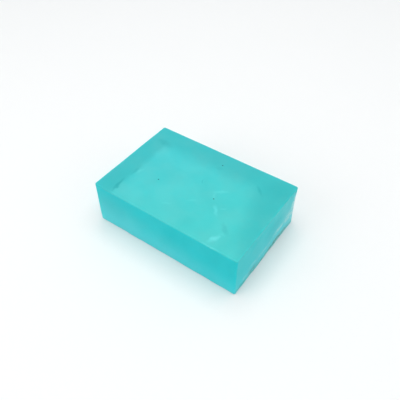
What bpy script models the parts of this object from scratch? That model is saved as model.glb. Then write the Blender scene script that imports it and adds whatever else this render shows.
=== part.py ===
"""A one-piece silicone soap mould, lying mouth down over the bar of soap it has just cast.

Metres, +Z up. The origin is the middle of the footprint, on the surface that the mould stands on. The long
sides run along X. Mouth down, the mould's thick closed floor is on top and its rim is at the bottom.
"""

import math

import bmesh
import bpy
from mathutils import Vector

# Driving dimensions of the silicone block
BLOCK_LENGTH = 0.100
BLOCK_WIDTH = 0.067
BLOCK_HEIGHT = 0.030
WALL = 0.008  # side walls at the mouth, and the closed floor
BLOCK_CORNER_RADIUS = 0.0012  # upright outer corners
BLOCK_FLOOR_EDGE_RADIUS = 0.0005  # round the outside of the closed floor
BLOCK_RIM_EDGE_RADIUS = 0.0010  # round the outside of the rim

# The cavity that shapes the bar
CAVITY_LENGTH = BLOCK_LENGTH - 2 * WALL
CAVITY_WIDTH = BLOCK_WIDTH - 2 * WALL
CAVITY_DEPTH = BLOCK_HEIGHT - WALL
CAVITY_DRAFT = math.radians(1.5)  # each wall leans in towards the closed floor, so that the bar comes out
CAVITY_CORNER_RADIUS = 0.0045
CAVITY_FLOOR_EDGE_RADIUS = 0.0025

# The bar stands clear of the silicone all round
BAR_CLEARANCE = 0.0003

CORNER_SEGMENTS = 6
EDGE_SEGMENTS = 4
CUT_THROUGH = 0.002  # how far the cavity's cutter runs out of the mouth

SILICONE_COLOUR = (0.076, 0.604, 0.617, 1.0)
SOAP_COLOUR = (0.240, 0.730, 0.735, 1.0)


def clear_objects():
    for old in list(bpy.data.objects):
        bpy.data.objects.remove(old)


def plain_material(name, colour, roughness):
    material = bpy.data.materials.new(name)
    material.use_nodes = True
    shader = material.node_tree.nodes["Principled BSDF"]
    shader.inputs["Base Color"].default_value = colour
    shader.inputs["Roughness"].default_value = roughness
    shader.inputs["Metallic"].default_value = 0.0
    return material


def bevel(bm, edges, radius, segments):
    bmesh.ops.bevel(
        bm,
        geom=edges,
        offset=radius,
        offset_type="OFFSET",
        segments=segments,
        affect="EDGES",
        profile=0.5,
        material=-1,
    )


def edges_at_height(bm, height):
    return [e for e in bm.edges if all(abs(v.co.z - height) < 1e-7 for v in e.verts)]


def upright_edges(bm, bottom, top):
    return [e for e in bm.edges if {round(v.co.z, 7) for v in e.verts} == {round(bottom, 7), round(top, 7)}]


def drafted_block(name, length, width, bottom, top, draft, corner_radius, top_radius, bottom_radius):
    """A block standing between two heights, length by width at its bottom, whose walls lean in by draft."""
    bm = bmesh.new()
    bmesh.ops.create_cube(bm, size=1.0)
    bmesh.ops.scale(bm, vec=Vector((length, width, top - bottom)), verts=bm.verts)
    bmesh.ops.translate(bm, vec=Vector((0, 0, (top + bottom) / 2)), verts=bm.verts)
    lean = (top - bottom) * math.tan(draft)
    for vert in bm.verts:
        if vert.co.z > (top + bottom) / 2:
            vert.co.x -= math.copysign(lean, vert.co.x)
            vert.co.y -= math.copysign(lean, vert.co.y)
    bevel(bm, upright_edges(bm, bottom, top), corner_radius, CORNER_SEGMENTS)
    if top_radius:
        bevel(bm, edges_at_height(bm, top), top_radius, EDGE_SEGMENTS)
    if bottom_radius:
        bevel(bm, edges_at_height(bm, bottom), bottom_radius, EDGE_SEGMENTS)
    bmesh.ops.recalc_face_normals(bm, faces=bm.faces)
    mesh = bpy.data.meshes.new(name)
    bm.to_mesh(mesh)
    bm.free()
    mesh.shade_smooth()
    mesh.set_sharp_from_angle(angle=math.radians(30))
    made = bpy.data.objects.new(name, mesh)
    bpy.context.scene.collection.objects.link(made)
    return made


def make_cavity_cutter():
    """The cavity's shape, run out past the mouth at the same draft."""
    spread = 2 * CUT_THROUGH * math.tan(CAVITY_DRAFT)
    cutter = drafted_block(
        "cavity_cutter",
        CAVITY_LENGTH + spread,
        CAVITY_WIDTH + spread,
        -CUT_THROUGH,
        CAVITY_DEPTH,
        CAVITY_DRAFT,
        CAVITY_CORNER_RADIUS,
        CAVITY_FLOOR_EDGE_RADIUS,
        0,
    )
    cutter.hide_render = True
    cutter.display_type = "WIRE"
    return cutter


def make_mould_body(material):
    """The silicone block, whose cavity opens downwards. Its origin is on the line that it lifts along."""
    body = drafted_block(
        "mould_body",
        BLOCK_LENGTH,
        BLOCK_WIDTH,
        0,
        BLOCK_HEIGHT,
        0,
        BLOCK_CORNER_RADIUS,
        BLOCK_FLOOR_EDGE_RADIUS,
        BLOCK_RIM_EDGE_RADIUS,
    )
    body.data.materials.append(material)
    cut = body.modifiers.new("cavity", "BOOLEAN")
    cut.operation = "DIFFERENCE"
    cut.solver = "EXACT"
    cut.object = make_cavity_cutter()
    return body


def make_soap_bar(material):
    """The cast bar: the cavity's shape less the clearance, with its poured face struck level with the rim."""
    bar = drafted_block(
        "soap_bar",
        CAVITY_LENGTH - 2 * BAR_CLEARANCE,
        CAVITY_WIDTH - 2 * BAR_CLEARANCE,
        0,
        CAVITY_DEPTH - BAR_CLEARANCE,
        CAVITY_DRAFT,
        CAVITY_CORNER_RADIUS - BAR_CLEARANCE,
        CAVITY_FLOOR_EDGE_RADIUS - BAR_CLEARANCE,
        0,
    )
    bar.data.materials.append(material)
    return bar


def main():
    clear_objects()
    make_mould_body(plain_material("silicone", SILICONE_COLOUR, 0.35))
    make_soap_bar(plain_material("soap", SOAP_COLOUR, 0.45))


main()
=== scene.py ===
import math

import bmesh
import bpy
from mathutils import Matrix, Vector, noise


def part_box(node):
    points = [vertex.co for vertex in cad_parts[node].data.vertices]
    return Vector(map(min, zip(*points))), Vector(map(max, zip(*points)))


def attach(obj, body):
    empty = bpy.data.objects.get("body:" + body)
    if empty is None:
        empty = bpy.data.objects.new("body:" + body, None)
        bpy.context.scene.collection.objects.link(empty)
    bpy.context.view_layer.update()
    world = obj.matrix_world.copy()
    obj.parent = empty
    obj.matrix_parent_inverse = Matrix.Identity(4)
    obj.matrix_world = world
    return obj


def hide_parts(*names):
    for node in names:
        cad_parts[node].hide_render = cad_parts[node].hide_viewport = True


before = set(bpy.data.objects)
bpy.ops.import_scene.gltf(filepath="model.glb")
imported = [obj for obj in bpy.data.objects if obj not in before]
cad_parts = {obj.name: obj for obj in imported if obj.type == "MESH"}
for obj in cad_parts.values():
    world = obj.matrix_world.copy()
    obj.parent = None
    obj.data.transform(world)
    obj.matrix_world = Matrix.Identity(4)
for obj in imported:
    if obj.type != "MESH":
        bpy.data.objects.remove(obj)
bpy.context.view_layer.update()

# The mould lies mouth down: its closed floor is on top, and the bar it has cast is still inside.
blockLow, blockHigh = (Vector(corner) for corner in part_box("mould_body"))
barLow, barHigh = (Vector(corner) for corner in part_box("soap_bar"))
blockSize = blockHigh - blockLow
barSize = barHigh - barLow
touching = 1e-6  # points closer than this, in metres, are in the same place


def evenBevel(bm, edges, radius, segments):
    bmesh.ops.bevel(bm, geom=edges, offset=radius, offset_type="OFFSET", segments=segments,
                    affect="EDGES", profile=0.5, material=-1)


def edgesAtHeight(bm, height):
    return [e for e in bm.edges if all(abs(v.co.z - height) < touching for v in e.verts)]


def standingEdges(bm):
    # the four upright corners, which rise by more than 5 mm
    return [e for e in bm.edges if abs(e.verts[0].co.z - e.verts[1].co.z) > 0.005]


def draftedBlock(bm, length, width, height, draft, cornerRadius, topRadius, footRadius=0.0):
    # a block on z = 0 whose walls lean in by the draft angle on their way up
    made = bmesh.ops.create_cube(bm, size=1.0)["verts"]
    bmesh.ops.scale(bm, vec=(length, width, height), verts=made)
    bmesh.ops.translate(bm, vec=(0, 0, height / 2), verts=made)
    lean = height * math.tan(math.radians(draft))
    for vert in made:
        if vert.co.z > height / 2:
            vert.co.x -= math.copysign(lean, vert.co.x)
            vert.co.y -= math.copysign(lean, vert.co.y)
    evenBevel(bm, standingEdges(bm), cornerRadius, segments=8)
    evenBevel(bm, edgesAtHeight(bm, height), topRadius, segments=6)
    if footRadius:
        evenBevel(bm, edgesAtHeight(bm, 0.0), footRadius, segments=5)
    return bm


def sliceEvenly(bm, axis, low, high, step):
    # cuts every face into strips, so that the flat sides have points to move
    count = max(2, round((high - low) / step))
    normal = Vector((0, 0, 0))
    normal[axis] = 1
    for k in range(1, count):
        place = Vector((0, 0, 0))
        place[axis] = low + (high - low) * k / count
        everything = bm.verts[:] + bm.edges[:] + bm.faces[:]
        bmesh.ops.bisect_plane(bm, geom=everything, dist=touching, plane_co=place, plane_no=normal)


def rippleInwards(bm, depth, size, shift):
    # a casting is never quite flat: each point sinks into the material by up to the depth
    bm.normal_update()
    moves = []
    for vert in bm.verts:
        swell = noise.noise(vert.co / size + Vector((shift, 0, 0)))
        moves.append((vert, vert.normal * depth * (0.5 + 0.5 * math.sin(2.0 * swell))))
    for vert, move in moves:
        vert.co -= move


def makeObject(name, bm, materials, sharpAngle=50):
    mesh = bpy.data.meshes.new(name)
    bm.to_mesh(mesh)
    bm.free()
    mesh.shade_smooth()
    mesh.set_sharp_from_angle(angle=math.radians(sharpAngle))
    for material in materials:
        mesh.materials.append(material)
    made = bpy.data.objects.new(name, mesh)
    bpy.context.scene.collection.objects.link(made)
    return made


def broadFacesFirst(piece):
    # big faces keep their own direction, and the small bevels take the turn
    weighted = piece.modifiers.new("broad faces first", "WEIGHTED_NORMAL")
    weighted.keep_sharp = True
    weighted.weight = 60


def newGroup(name, inputs, outputs):
    tree = bpy.data.node_groups.new(name, "ShaderNodeTree")
    for label, kind, value in inputs:
        made = tree.interface.new_socket(label, in_out="INPUT", socket_type="NodeSocket" + kind)
        if value is not None:
            made.default_value = value
    for label, kind in outputs:
        tree.interface.new_socket(label, in_out="OUTPUT", socket_type="NodeSocket" + kind)
    return tree, tree.nodes.new("NodeGroupInput"), tree.nodes.new("NodeGroupOutput")


def addNode(tree, kind, **settings):
    node = tree.nodes.new("ShaderNode" + kind)
    for name, value in settings.items():
        setattr(node, name, value)
    return node


def feed(tree, socket, value):
    # a socket takes either a plain value or another node's output
    if isinstance(value, bpy.types.NodeSocket):
        tree.links.new(value, socket)
    else:
        socket.default_value = value


def calculate(tree, operation, first, second):
    node = addNode(tree, "Math", operation=operation)
    feed(tree, node.inputs[0], first)
    feed(tree, node.inputs[1], second)
    return node.outputs[0]


def remap(tree, source, low, high, toLow=0.0, toHigh=1.0):
    node = addNode(tree, "MapRange", interpolation_type="SMOOTHSTEP")
    for label, value in (("Value", source), ("From Min", low), ("From Max", high),
                         ("To Min", toLow), ("To Max", toHigh)):
        feed(tree, node.inputs[label], value)
    return node.outputs["Result"]


def mixColours(tree, factor, first, second):
    node = addNode(tree, "Mix", data_type="RGBA")
    feed(tree, node.inputs[0], factor)
    feed(tree, node.inputs[6], first)
    feed(tree, node.inputs[7], second)
    return node.outputs[2]


def noiseAt(tree, place, scale, detail, roughness=0.5, distortion=0.0):
    node = addNode(tree, "TexNoise")
    for label, value in (("Vector", place), ("Scale", scale), ("Detail", detail),
                         ("Roughness", roughness), ("Distortion", distortion)):
        feed(tree, node.inputs[label], value)
    return node.outputs["Fac"]


def useGroup(tree, group, **values):
    node = addNode(tree, "Group", node_tree=group)
    for label, value in values.items():
        feed(tree, node.inputs[label], value)
    return node


def cloudingGroup():
    # the slow colour drift of a poured material, as thinner and denser clouds of pigment
    tree, start, end = newGroup(
        "poured clouding",
        [("Place", "Vector", None), ("Size", "Float", 45.0),
         ("Thin", "Color", None), ("Dense", "Color", None)],
        [("Colour", "Color")],
    )
    drift = noiseAt(tree, start.outputs["Place"], start.outputs["Size"],
                    detail=3.0, roughness=0.45, distortion=0.6)
    cloud = remap(tree, drift, low=0.3, high=0.7)
    colour = mixColours(tree, cloud, start.outputs["Thin"], start.outputs["Dense"])
    tree.links.new(colour, end.inputs["Colour"])
    return tree


def skinGroup():
    # the fine surface: faint orange peel, and patches that handling has left duller
    tree, start, end = newGroup(
        "soft skin",
        [("Place", "Vector", None), ("Peel", "Float", 900.0),
         ("Glossy", "Float", 0.2), ("Dull", "Float", 0.4)],
        [("Roughness", "Float"), ("Height", "Float")],
    )
    place = start.outputs["Place"]
    tree.links.new(noiseAt(tree, place, start.outputs["Peel"], detail=2.0), end.inputs["Height"])
    patch = remap(tree, noiseAt(tree, place, scale=70.0, detail=4.0), low=0.4, high=0.68)
    spread = calculate(tree, "SUBTRACT", start.outputs["Dull"], start.outputs["Glossy"])
    dulled = calculate(tree, "MULTIPLY", patch, spread)
    tree.links.new(calculate(tree, "ADD", dulled, start.outputs["Glossy"]), end.inputs["Roughness"])
    return tree


def alongDirection(tree, place, direction):
    # how far a point lies along a direction, in metres
    node = addNode(tree, "VectorMath", operation="DOT_PRODUCT")
    feed(tree, node.inputs[0], place)
    feed(tree, node.inputs[1], direction)
    return node.outputs["Value"]


def bloomAndHighlightGroup():
    # a thin white film on the face that lies up, and a pale wash that creeps up the walls from the foot:
    # partly film, partly a painted highlight high at the back of the right end
    tree, start, end = newGroup(
        "white bloom and highlight",
        [("Place", "Vector", None), ("Lean", "Vector", (0.16, -0.25, 1.0)), ("Face Height", "Float", 0.03),
         ("Top", "Float", 0.08), ("Foot", "Float", 0.05), ("Patches", "Float", 60.0)],
        [("Mask", "Float")],
    )
    place = start.outputs["Place"]
    height = alongDirection(tree, place, (0, 0, 1))
    nearFace = calculate(tree, "SUBTRACT", height, start.outputs["Face Height"])
    onTop = remap(tree, nearFace, low=-0.0010, high=-0.0003)
    # the lean makes the foot part climb highest at the left end of the front and at the back of the right
    # end, where it adds to the painted highlight
    lowDown = remap(tree, alongDirection(tree, place, start.outputs["Lean"]), low=0.033, high=0.003)
    below = calculate(tree, "MULTIPLY", lowDown, calculate(tree, "SUBTRACT", 1.0, onTop))
    both = calculate(tree, "ADD", calculate(tree, "MULTIPLY", onTop, start.outputs["Top"]),
                     calculate(tree, "MULTIPLY", below, start.outputs["Foot"]))
    patches = remap(tree, noiseAt(tree, place, start.outputs["Patches"], detail=3.0),
                    low=0.3, high=0.7, toLow=0.8, toHigh=1.15)
    tree.links.new(calculate(tree, "MULTIPLY", both, patches), end.inputs["Mask"])
    return tree


def raggedGroup():
    # nudges a point about a little, so that whatever is drawn there gets a ragged outline
    tree, start, end = newGroup(
        "ragged outline",
        [("Place", "Vector", None), ("Size", "Float", 260.0), ("Amount", "Float", 0.0028)],
        [("Place", "Vector")],
    )
    noiseNode = addNode(tree, "TexNoise")
    tree.links.new(start.outputs["Place"], noiseNode.inputs["Vector"])
    tree.links.new(start.outputs["Size"], noiseNode.inputs["Scale"])
    centred = addNode(tree, "VectorMath", operation="SUBTRACT")
    tree.links.new(noiseNode.outputs["Color"], centred.inputs[0])
    centred.inputs[1].default_value = (0.5, 0.5, 0.5)
    shrunk = addNode(tree, "VectorMath", operation="SCALE")
    tree.links.new(centred.outputs[0], shrunk.inputs[0])
    tree.links.new(start.outputs["Amount"], shrunk.inputs["Scale"])
    moved = addNode(tree, "VectorMath", operation="ADD")
    tree.links.new(start.outputs["Place"], moved.inputs[0])
    tree.links.new(shrunk.outputs[0], moved.inputs[1])
    tree.links.new(moved.outputs[0], end.inputs["Place"])
    return tree


def softMarkGroup():
    # one soft oval mark: full in the middle and gone at its own half length, width and height
    tree, start, end = newGroup(
        "soft mark",
        [("Place", "Vector", None), ("Middle", "Vector", None), ("Turn", "Float", 0.0),
         ("Half Size", "Vector", (0.004, 0.001, 0.001)), ("Strength", "Float", 0.5)],
        [("Mask", "Float")],
    )
    offset = addNode(tree, "VectorMath", operation="SUBTRACT")
    tree.links.new(start.outputs["Place"], offset.inputs[0])
    tree.links.new(start.outputs["Middle"], offset.inputs[1])
    turned = addNode(tree, "VectorRotate", rotation_type="Z_AXIS", invert=True)
    tree.links.new(offset.outputs[0], turned.inputs["Vector"])
    tree.links.new(start.outputs["Turn"], turned.inputs["Angle"])
    sized = addNode(tree, "VectorMath", operation="DIVIDE")
    tree.links.new(turned.outputs[0], sized.inputs[0])
    tree.links.new(start.outputs["Half Size"], sized.inputs[1])
    distance = addNode(tree, "VectorMath", operation="LENGTH")
    tree.links.new(sized.outputs[0], distance.inputs[0])
    fade = remap(tree, distance.outputs["Value"], low=1.0, high=0.15)
    tree.links.new(calculate(tree, "MULTIPLY", fade, start.outputs["Strength"]), end.inputs["Mask"])
    return tree


def shadedTopEdgeGroup():
    # a narrow strip of painted shade along the top's outer edge, which dulls the light that the small bevel
    # catches
    tree, start, end = newGroup(
        "shaded top edge",
        [("Place", "Vector", None), ("Width", "Float", 0.0007), ("Strength", "Float", 0.3)],
        [("Mask", "Float")],
    )
    size = addNode(tree, "VectorMath", operation="ABSOLUTE")
    tree.links.new(start.outputs["Place"], size.inputs[0])
    inset = addNode(tree, "VectorMath", operation="SUBTRACT")
    tree.links.new(size.outputs[0], inset.inputs[0])
    inset.inputs[1].default_value = blockHigh
    parts = addNode(tree, "SeparateXYZ")
    tree.links.new(inset.outputs[0], parts.inputs[0])
    side = calculate(tree, "MAXIMUM", parts.outputs["X"], parts.outputs["Y"])
    past = calculate(tree, "ADD", side, parts.outputs["Z"])
    reach = calculate(tree, "MULTIPLY", start.outputs["Width"], -1.0)
    # the painted shade starts at the width and is full over the outer third of it
    near = remap(tree, past, low=reach, high=calculate(tree, "MULTIPLY", reach, 0.35))
    tree.links.new(calculate(tree, "MULTIPLY", near, start.outputs["Strength"]), end.inputs["Mask"])
    return tree


pouredClouding = cloudingGroup()
bloomAndHighlight = bloomAndHighlightGroup()
raggedOutline = raggedGroup()
softMark = softMarkGroup()
shadedTopEdge = shadedTopEdgeGroup()
softSkin = skinGroup()
print("shader groups ready")


def startMaterial(name, look):
    # what silicone and soap share: a milky share, a clear share, and a tint that deepens with depth
    material = bpy.data.materials.new(name)
    material.use_nodes = True
    tree = material.node_tree
    shader = tree.nodes["Principled BSDF"]
    shader.inputs["IOR"].default_value = look["bend"]
    shader.inputs["Transmission Weight"].default_value = look["clearness"]
    shader.inputs["Specular IOR Level"].default_value = look["gloss"]
    shader.inputs["Subsurface Weight"].default_value = 1.0
    shader.inputs["Subsurface Scale"].default_value = look["glowDepth"]
    shader.inputs["Subsurface Radius"].default_value = look["glowReach"]
    tint = addNode(tree, "VolumeAbsorption")
    tint.inputs["Color"].default_value = look["depthColour"]
    tint.inputs["Density"].default_value = look["depthDensity"]
    tree.links.new(tint.outputs["Volume"], tree.nodes["Material Output"].inputs["Volume"])
    place = addNode(tree, "TexCoord").outputs["Object"]
    clouds = useGroup(tree, pouredClouding, Place=place, Size=look["cloudSize"],
                      Thin=look["thin"], Dense=look["dense"])
    skin = useGroup(tree, softSkin, Place=place, Glossy=look["glossy"], Dull=look["dull"])
    tree.links.new(clouds.outputs["Colour"], shader.inputs["Base Color"])
    tree.links.new(skin.outputs["Roughness"], shader.inputs["Roughness"])
    bump = addNode(tree, "Bump")
    bump.inputs["Strength"].default_value = look["peelStrength"]
    bump.inputs["Distance"].default_value = look["peelHeight"]
    tree.links.new(skin.outputs["Height"], bump.inputs["Height"])
    tree.links.new(bump.outputs["Normal"], shader.inputs["Normal"])
    return material, tree, shader


def tintOver(tree, shader, mask, colour):
    # lays one more colour over whatever already feeds the base colour
    under = shader.inputs["Base Color"].links[0].from_socket
    tree.links.new(mixColours(tree, mask, under, colour), shader.inputs["Base Color"])


def markMasks(tree, place, marks):
    # the strongest of a list of soft marks at each point
    strongest = 0.0
    for mark in marks:
        node = useGroup(tree, softMark, **{
            "Place": place, "Middle": tuple(v / 1000 for v in mark["at"]), "Turn": math.radians(mark["turn"]),
            "Half Size": tuple(v / 2000 for v in mark["size"]), "Strength": mark["strength"]})
        strongest = calculate(tree, "MAXIMUM", node.outputs["Mask"], strongest)
    return strongest


siliconeLook = dict(
    thin=(0.019, 0.722, 0.760, 1.0), dense=(0.013, 0.676, 0.716, 1.0), cloudSize=45.0,
    clearness=0.22, bend=1.41, gloss=0.08, glowDepth=0.0020, glowReach=(0.30, 1.0, 1.0),
    depthColour=(0.0, 0.84, 0.86, 1.0), depthDensity=28.0,
    glossy=0.29, dull=0.40, peelStrength=0.12, peelHeight=0.0002,
)
castMarksAndPaintedLight = dict(
    # what belongs to the top is gone the first distance below it and full at the second
    topFade=(0.0012, 0.0004),
    bloomOnTop=0.092, topBloomColour=(1.0, 1.0, 0.80, 1.0),
    # the foot part is partly film, partly a painted highlight at the back of the right end
    footBloomAndHighlight=0.094, footBloomAndHighlightColour=(1.0, 1.0, 1.0, 1.0),
    # the closed floor turns a little greener towards its front right corner
    agedColour=(0.019, 0.745, 0.60, 1.0), agedStrength=0.22, agedLean=(0.8, -0.6, 0.0), agedReach=0.045,
    # painted shade along the top's outer edge
    edgeShadeColour=(0.016, 0.50, 0.53, 1.0), edgeShadeStrength=0.30, edgeWidth=0.0007,
    # painted shade darkens the top outside these three lines, where no bar lies beneath, so the middle looks
    # lighter: direction, place in mm, half width in mm
    margins=(((-1, 0, 0), 37.4, 2.5), ((0, 1, 0), 18.5, 7.0), ((0.916, 0.401, 0), 32.5, 7.5)),
    marginShadeColour=(0.016, 0.48, 0.51, 1.0), marginShadeStrength=0.42, marginShadeBare=0.30,
    # soft marks in mm: middle, length and width and height, turn in degrees
    # the darker marks are painted shade: the cavity's edges and walls seen darker through the silicone
    darkShadeColour=(0.003, 0.39, 0.42, 1.0),
    darkShade=(
        dict(at=(-38.0, -26.0, 30), size=(17, 3.2, 4), turn=97, strength=0.47),
        dict(at=(-37.6, -10.5, 30), size=(13, 3.4, 4), turn=95, strength=0.24),
        dict(at=(-39.5, 20.5, 30), size=(16, 6.5, 4), turn=-8, strength=0.24),
        dict(at=(33.1, 17.6, 30), size=(13, 3.6, 4), turn=-42, strength=0.28),
        dict(at=(43.5, 21.0, 30), size=(16, 9, 4), turn=-10, strength=0.16),
        dict(at=(44.0, 25.0, 30), size=(30, 26, 4), turn=0, strength=0.16),
        dict(at=(32.5, -18.6, 30), size=(13, 4.6, 4), turn=-40, strength=0.20),
        dict(at=(3.0, 20.3, 30), size=(6, 4, 4), turn=0, strength=0.12),
        dict(at=(1.2, 5.0, 30), size=(5.5, 1.2, 4), turn=-60, strength=0.26),
    ),
    paleColour=(0.27, 1.0, 1.0, 1.0),
    pale=(
        dict(at=(14.6, 3.7, 30), size=(13, 3.6, 4), turn=36, strength=0.24),
        dict(at=(13.2, -0.6, 30), size=(8, 2.8, 4), turn=-62, strength=0.15),
        dict(at=(20.4, -9.8, 30), size=(12, 3.8, 4), turn=-50, strength=0.33),
        dict(at=(23.6, -6.2, 30), size=(7, 2.0, 4), turn=40, strength=0.16),
        dict(at=(5.0, -11.2, 30), size=(10, 2.8, 4), turn=38, strength=0.12),
        dict(at=(-5.5, -21.5, 30), size=(9, 2.6, 4), turn=30, strength=0.13),
        dict(at=(31.2, -27.4, 30), size=(11, 4.6, 4), turn=66, strength=0.50),
        dict(at=(33.4, -22.6, 30), size=(6, 2.6, 4), turn=10, strength=0.14),
        dict(at=(-35.0, -9.0, 30), size=(7, 3.2, 4), turn=80, strength=0.15),
        # painted highlight: a bright line along part of the front top edge
        dict(at=(33.0, -33.5, 30), size=(15, 2.4, 2.4), turn=0, strength=0.42),
    ),
    # whitish scuffs, with a painted highlight high at the back of the right end, and painted contact shadow
    # along the foot: strong on the right end, faint at the left and the back
    streakSize=900.0, streakStretch=(1.0, 0.35, 1.0),
    scuffAndHighlightColour=(0.72, 0.98, 0.99, 1.0),
    scuffAndHighlight=(
        # painted highlight: the whitish patch high at the back of the right end
        dict(at=(50, 33.2, 15.5), size=(7, 13, 31), turn=0, strength=0.76),
        dict(at=(50, 26.5, 11.5), size=(5, 20, 12.0), turn=0, strength=0.44),
        dict(at=(50, 15.0, 10.3), size=(5, 22, 6.6), turn=0, strength=0.40),
        dict(at=(50, -1.0, 8.0), size=(5, 28, 4.4), turn=0, strength=0.24),
        dict(at=(50, -14.0, 8.4), size=(5, 16, 3.8), turn=0, strength=0.20),
        dict(at=(50, -24.0, 5.0), size=(5, 14, 3.2), turn=0, strength=0.24),
        dict(at=(-50, 9.0, 8.5), size=(5, 26, 4.0), turn=0, strength=0.20),
        dict(at=(-50, -20.0, 6.0), size=(5, 16, 3.4), turn=0, strength=0.15),
        dict(at=(-14, 33.5, 7.5), size=(34, 5, 4.0), turn=0, strength=0.18),
        dict(at=(27, 33.5, 10.0), size=(24, 5, 4.5), turn=0, strength=0.15),
    ),
    # painted light: the walls turn lighter towards the foot, where light bounces up from the floor
    footBounceColour=(0.04, 0.92, 1.0, 1.0), footBounceStrength=0.46, footReach=0.021,
    # painted contact shadow along the foot
    footShadowColour=(0.12, 0.33, 0.30, 1.0),
    footShadow=(
        dict(at=(50, 14.0, 2.4), size=(5, 50, 7.0), turn=0, strength=0.75),
        dict(at=(50, -14.5, 3.4), size=(5, 17, 7.0), turn=0, strength=0.62),
        dict(at=(50, -27.0, 1.8), size=(5, 18, 5.0), turn=0, strength=0.45),
        dict(at=(50, 0.0, 0.6), size=(5, 90, 4.0), turn=0, strength=0.60),
        dict(at=(-50, -4.0, 1.6), size=(5, 40, 4.4), turn=0, strength=0.30),
        dict(at=(16, 33.5, 1.6), size=(48, 5, 4.4), turn=0, strength=0.28),
        dict(at=(-32, 33.5, 1.2), size=(20, 5, 3.4), turn=0, strength=0.22),
    ),
    # pinholes in the closed floor, in mm, each with painted shade in its pit
    pores=((-21.3, -8.7), (3.1, 23.7), (14.6, -3.1)),
    poreShadeColour=(0.004, 0.05, 0.055, 1.0), poreSize=(1.3, 1.3, 3.0), poreShadeStrength=0.95,
)
soapLook = dict(
    thin=(0.32, 0.93, 0.92, 1.0), dense=(0.25, 0.88, 0.88, 1.0), cloudSize=60.0,
    clearness=0.35, bend=1.47, gloss=0.35, glowDepth=0.006, glowReach=(0.40, 1.0, 1.0),
    depthColour=(0.0, 0.84, 0.86, 1.0), depthDensity=18.0,
    glossy=0.28, dull=0.42, peelStrength=0.10, peelHeight=0.0002,
    bloomOnTop=0.10, footBloomAndHighlight=0.06, bloomColour=(1.0, 1.0, 1.0, 1.0),
)


def shadedTopMargin(tree, ragged, marks, upper):
    # painted shade: full outside the lighter middle of the top, where no bar lies beneath, and nothing inside
    # it
    shadedMargin = 0.0
    for direction, distance, half in marks["margins"]:
        along = alongDirection(tree, ragged, direction)
        side = remap(tree, along, (distance - half) / 1000, (distance + half) / 1000)
        shadedMargin = calculate(tree, "MAXIMUM", side, shadedMargin)
    return calculate(tree, "MULTIPLY", shadedMargin, upper)


def topAgeing(tree, place, marks, upper):
    reach = marks["agedReach"]
    aged = remap(tree, alongDirection(tree, place, marks["agedLean"]), -reach, reach)
    return calculate(tree, "MULTIPLY", calculate(tree, "MULTIPLY", aged, upper), marks["agedStrength"])


def layBloomAndHighlight(tree, shader, place, marks, upper, shadedMargin):
    # the top film is thinner under the painted shade
    thinnedOverShade = calculate(tree, "SUBTRACT", 1.0, calculate(tree, "MULTIPLY", shadedMargin, marks["marginShadeBare"]))
    bloom = useGroup(tree, bloomAndHighlight, **{
        "Place": place, "Face Height": blockHigh.z, "Foot": marks["footBloomAndHighlight"],
        "Top": calculate(tree, "MULTIPLY", thinnedOverShade, marks["bloomOnTop"])})
    # film, and at the foot partly a painted highlight
    colour = mixColours(tree, upper, marks["footBloomAndHighlightColour"], marks["topBloomColour"])
    tintOver(tree, shader, bloom.outputs["Mask"], colour)


def streakBreaks(tree, place, marks):
    # fine breaks, drawn out from front to back, laid over the scuffs, the painted highlight and the painted
    # foot shadow so that they break up in streaks
    stretched = addNode(tree, "Mapping", vector_type="POINT")
    tree.links.new(place, stretched.inputs["Vector"])
    stretched.inputs["Scale"].default_value = marks["streakStretch"]
    grain = noiseAt(tree, stretched.outputs["Vector"], marks["streakSize"], detail=5.0, roughness=0.65)
    return remap(tree, grain, low=0.40, high=0.60, toLow=0.30, toHigh=1.30)


def siliconeMaterial(look, marks):
    material, tree, shader = startMaterial("cast silicone", look)
    place = addNode(tree, "TexCoord").outputs["Object"]
    ragged = useGroup(tree, raggedOutline, Place=place).outputs["Place"]
    height = alongDirection(tree, place, (0, 0, 1))
    gone, full = marks["topFade"]
    upper = remap(tree, height, blockHigh.z - gone, blockHigh.z - full)
    shadedMargin = shadedTopMargin(tree, ragged, marks, upper)
    low = remap(tree, height, marks["footReach"], 0.0, 0.0, marks["footBounceStrength"])
    tintOver(tree, shader, topAgeing(tree, place, marks, upper), marks["agedColour"])
    # painted shade on the top outside the bar's outline
    tintOver(tree, shader, calculate(tree, "MULTIPLY", shadedMargin, marks["marginShadeStrength"]),
             marks["marginShadeColour"])
    # painted bounce light, lighter towards the foot
    tintOver(tree, shader, low, marks["footBounceColour"])
    layBloomAndHighlight(tree, shader, place, marks, upper, shadedMargin)
    # painted shade along the top's outer edge, to dull the bevel's lit line
    edge = useGroup(tree, shadedTopEdge, Place=place, Width=marks["edgeWidth"], Strength=marks["edgeShadeStrength"])
    tintOver(tree, shader, edge.outputs["Mask"], marks["edgeShadeColour"])
    # painted shade where the cavity shows through, then pale streaks with one painted highlight
    for lightAndStreakMarks in ("darkShade", "pale"):
        tintOver(tree, shader, markMasks(tree, ragged, marks[lightAndStreakMarks]), marks[lightAndStreakMarks + "Colour"])
    breaks = streakBreaks(tree, place, marks)
    # scuffs with a painted highlight, then painted contact shadow along the foot
    for wearAndPaintedLight in ("scuffAndHighlight", "footShadow"):
        wornAndPaintedLight = calculate(tree, "MULTIPLY", markMasks(tree, ragged, marks[wearAndPaintedLight]), breaks)
        tintOver(tree, shader, wornAndPaintedLight, marks[wearAndPaintedLight + "Colour"])
    top = 1000 * blockHigh.z
    dots = [dict(at=(x, y, top), size=marks["poreSize"], turn=0, strength=marks["poreShadeStrength"])
            for x, y in marks["pores"]]
    # painted shade in the pinholes
    tintOver(tree, shader, markMasks(tree, place, dots), marks["poreShadeColour"])
    return material


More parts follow.
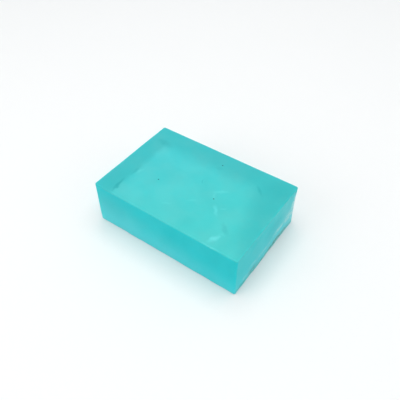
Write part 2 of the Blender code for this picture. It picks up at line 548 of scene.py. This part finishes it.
def soapMaterial(look):
    material, tree, shader = startMaterial("cast soap", look)
    place = addNode(tree, "TexCoord").outputs["Object"]
    bloom = useGroup(tree, bloomAndHighlight, **{
        "Place": place, "Face Height": barHigh.z, "Top": look["bloomOnTop"], "Foot": look["footBloomAndHighlight"]})
    tintOver(tree, shader, bloom.outputs["Mask"], look["bloomColour"])
    return material


castSilicone = siliconeMaterial(siliconeLook, castMarksAndPaintedLight)
castSoap = soapMaterial(soapLook)
print("silicone and soap ready")

mouldLook = dict(
    cornerRadius=0.0012, floorEdgeRadius=0.00022, rimEdgeRadius=0.0005, mouthEdgeRadius=0.0004,
    cavityCornerRadius=0.0045, cavityEdgeRadius=0.0025, draft=1.5, barClearance=0.0003,
    mouthReach=0.001,  # every edge of the mouth is closer than this to the bar's foot
    rimInset=0.003,  # points further out than this from the bar move with the outer wall
    gridStep=0.0025, ripple=0.00012, rippleSize=0.018, rippleShift=3.0,
    footWaver=0.00020, footHeight=0.006, waverSize=0.007, endBow=0.0003, poreRadius=0.00024,
)


def beyondBar(vert, distance):
    # is the point further out than this from the bar, sideways?
    return abs(vert.co.x) > barHigh.x + distance or abs(vert.co.y) > barHigh.y + distance


def makeMould(look):
    bm = draftedBlock(bmesh.new(), *blockSize, 0.0, look["cornerRadius"], look["floorEdgeRadius"],
                      look["rimEdgeRadius"])
    clearance = look["barClearance"]
    cavitySize = barSize + Vector((2 * clearance, 2 * clearance, clearance))
    cavity = draftedBlock(bmesh.new(), *cavitySize, look["draft"], look["cavityCornerRadius"],
                          look["cavityEdgeRadius"])
    # the cavity is turned inside out, then its mouth is joined to the block's open underside by the rim
    bmesh.ops.reverse_faces(cavity, faces=cavity.faces)
    lining = bpy.data.meshes.new("lining")
    cavity.to_mesh(lining)
    cavity.free()
    bm.from_mesh(lining)
    bpy.data.meshes.remove(lining)
    undersides = [f for f in bm.faces if all(abs(v.co.z) < touching for v in f.verts)]
    rimEdges = [e for e in bm.edges if any(f in undersides for f in e.link_faces)]
    mouthEdges = [e for e in rimEdges if not any(beyondBar(v, look["mouthReach"]) for v in e.verts)]
    bmesh.ops.delete(bm, geom=undersides, context="FACES_ONLY")
    bmesh.ops.bridge_loops(bm, edges=rimEdges)
    evenBevel(bm, mouthEdges, look["mouthEdgeRadius"], segments=4)
    bmesh.ops.recalc_face_normals(bm, faces=bm.faces)
    for axis in range(3):
        sliceEvenly(bm, axis, blockLow[axis], blockHigh[axis], look["gridStep"])
    rippleInwards(bm, look["ripple"], look["rippleSize"], look["rippleShift"])
    waverFoot(bm, look)
    bowEnd(bm, look)
    return bm


def waverFoot(bm, look):
    # the outer walls wander a little more near the table, where the block was trimmed
    for vert in bm.verts:
        if beyondBar(vert, look["rimInset"]) and vert.co.z < look["footHeight"]:
            amount = (1 - vert.co.z / look["footHeight"]) ** 2 * look["footWaver"]
            wave = 0.5 + 0.5 * math.sin(3.0 * noise.noise(vert.co / look["waverSize"]))
            vert.co.x -= math.copysign(amount * wave, vert.co.x)
            vert.co.y -= math.copysign(amount * wave, vert.co.y)


def bowEnd(bm, look):
    # the right end is drawn in a touch at half height, as soft silicone shrinks
    for vert in bm.verts:
        if vert.co.x > barHigh.x + look["rimInset"]:
            vert.co.x -= look["endBow"] * math.sin(math.pi * vert.co.z / blockHigh.z)


def pricked(piece, places, radius, height):
    # small round pits, cut where air bubbles came to the surface
    needles = bmesh.new()
    for x, y in places:
        made = bmesh.ops.create_icosphere(needles, subdivisions=2, radius=radius)["verts"]
        bmesh.ops.translate(needles, vec=(x / 1000, y / 1000, height), verts=made)
    cutter = makeObject("needles", needles, [])
    cut = piece.modifiers.new("pits", "BOOLEAN")
    cut.operation = "DIFFERENCE"
    cut.solver = "EXACT"
    cut.object = cutter
    final = bpy.data.meshes.new_from_object(piece.evaluated_get(bpy.context.evaluated_depsgraph_get()))
    piece.modifiers.clear()
    old, piece.data = piece.data, final
    bpy.data.meshes.remove(old)
    bpy.data.objects.remove(cutter)


mouldMesh = makeMould(mouldLook)
print("mould:", len(mouldMesh.faces), "faces")
mould = makeObject("siliconeMould", mouldMesh, [castSilicone])
pricked(mould, castMarksAndPaintedLight["pores"], mouldLook["poreRadius"], blockHigh.z)
broadFacesFirst(mould)
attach(mould, "mould")
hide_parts("mould_body")

barLook = dict(cornerRadius=0.0042, topRadius=0.0022, footRadius=0.0004, draft=1.5,
               gridStep=0.0030, ripple=0.00010, rippleSize=0.014, rippleShift=9.0, dip=0.0005,
               bubbles=((-27, 9), (-12, -14), (4, 17), (17, -6), (29, 11), (-31, -11)), bubbleRadius=0.00045)


def makeBar(look):
    bm = draftedBlock(bmesh.new(), *barSize, look["draft"], look["cornerRadius"], look["topRadius"],
                      look["footRadius"])
    for axis in range(3):
        sliceEvenly(bm, axis, barLow[axis], barHigh[axis], look["gridStep"])
    rippleInwards(bm, look["ripple"], look["rippleSize"], look["rippleShift"])
    for vert in bm.verts:
        if vert.co.z < look["footRadius"]:
            # the poured face sinks a little in the middle as the soap sets
            fall = max(0.0, 1 - (vert.co.x / barHigh.x) ** 2) * max(0.0, 1 - (vert.co.y / barHigh.y) ** 2)
            vert.co.z += look["dip"] * math.sqrt(fall)
    return bm


barMesh = makeBar(barLook)
print("bar:", len(barMesh.faces), "faces")
bar = makeObject("castSoapBar", barMesh, [castSoap])
pricked(bar, barLook["bubbles"], barLook["bubbleRadius"], barHigh.z)
broadFacesFirst(bar)
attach(bar, "bar")
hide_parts("soap_bar")

studio = dict(
    floorColour=(0.92, 0.92, 0.915, 1.0), grainShade=0.985, grainSize=400.0,
    floorRadius=1.2, hubRadius=0.001, coveRadius=0.35, coveHeight=0.95, coveSteps=12, turnSteps=96,
    cardRoughness=0.85, cardGloss=0.2, skyColour=(0.75, 0.78, 0.80, 1.0), skyStrength=0.65,
)


def paleCard(look):
    material = bpy.data.materials.new("pale card")
    material.use_nodes = True
    tree = material.node_tree
    shader = tree.nodes["Principled BSDF"]
    grain = noiseAt(tree, addNode(tree, "TexCoord").outputs["Object"], look["grainSize"], detail=4.0)
    shaded = tuple(look["grainShade"] * c for c in look["floorColour"][:3]) + (1.0,)
    tree.links.new(mixColours(tree, grain, look["floorColour"], shaded), shader.inputs["Base Color"])
    shader.inputs["Roughness"].default_value = look["cardRoughness"]
    shader.inputs["Specular IOR Level"].default_value = look["cardGloss"]
    return material


def makeFloor(look):
    # a pale round cove: flat where the mould stands, and curved up out of sight all round
    bm = bmesh.new()
    centre = bm.verts.new((look["hubRadius"], 0, 0))
    edge = bm.verts.new((look["floorRadius"], 0, 0))
    profile = [bm.edges.new((centre, edge))]
    last = edge
    for k in range(1, look["coveSteps"] + 1):
        turn = math.pi / 2 * k / look["coveSteps"]
        point = bm.verts.new((look["floorRadius"] + look["coveRadius"] * math.sin(turn), 0,
                              look["coveHeight"] * (1 - math.cos(turn))))
        profile.append(bm.edges.new((last, point)))
        last = point
    bmesh.ops.spin(bm, geom=bm.verts[:] + profile, cent=(0, 0, 0), axis=(0, 0, 1), angle=2 * math.pi,
                   steps=look["turnSteps"], use_merge=True)
    bmesh.ops.remove_doubles(bm, verts=bm.verts, dist=1e-5)
    hole = [e for e in bm.edges if e.is_boundary and e.verts[0].co.length < 2 * look["hubRadius"]]
    bmesh.ops.contextual_create(bm, geom=hole)
    bmesh.ops.recalc_face_normals(bm, faces=bm.faces)
    return makeObject("studioFloor", bm, [paleCard(look)])


makeFloor(studio)

lamps = dict(
    overhead=dict(place=(0.00, 0.06, 1.10), size=1.00, power=7.25),
    front=dict(place=(-0.30, -0.65, 0.45), size=0.50, power=1.1),
    right=dict(place=(0.75, 0.15, 0.35), size=0.40, power=0.3),
)


def makeLamps(settings):
    for name, lamp in settings.items():
        light = bpy.data.lights.new(name + "Lamp", "AREA")
        light.size = lamp["size"]
        light.energy = lamp["power"]
        holder = bpy.data.objects.new(name + "Lamp", light)
        holder.location = lamp["place"]
        holder.rotation_euler = (-Vector(lamp["place"])).to_track_quat("-Z", "Y").to_euler()
        bpy.context.scene.collection.objects.link(holder)


def makeSky(look):
    world = bpy.data.worlds.new("studio")
    world.use_nodes = True
    background = world.node_tree.nodes["Background"]
    background.inputs["Color"].default_value = look["skyColour"]
    background.inputs["Strength"].default_value = look["skyStrength"]
    bpy.context.scene.world = world


makeLamps(lamps)
makeSky(studio)
print("studio ready")

# The camera looks down at the front long side and the right end.
view = dict(round=35.3, up=45.9, distance=0.2947, aim=(0.0005, 0.0033, 0.0152), lens=43.2)


def makeCamera(look):
    camera = bpy.data.cameras.new("camera")
    camera.lens = look["lens"]
    camera.sensor_width = 36.0
    camera.clip_start = 0.005
    holder = bpy.data.objects.new("camera", camera)
    turn, climb = math.radians(look["round"]), math.radians(look["up"])
    away = Vector((math.cos(climb) * math.sin(turn), -math.cos(climb) * math.cos(turn), math.sin(climb)))
    holder.location = Vector(look["aim"]) + away * look["distance"]
    holder.rotation_euler = (-away).to_track_quat("-Z", "Y").to_euler()
    bpy.context.scene.collection.objects.link(holder)
    bpy.context.scene.camera = holder


makeCamera(view)
bpy.context.scene.view_settings.view_transform = "Standard"
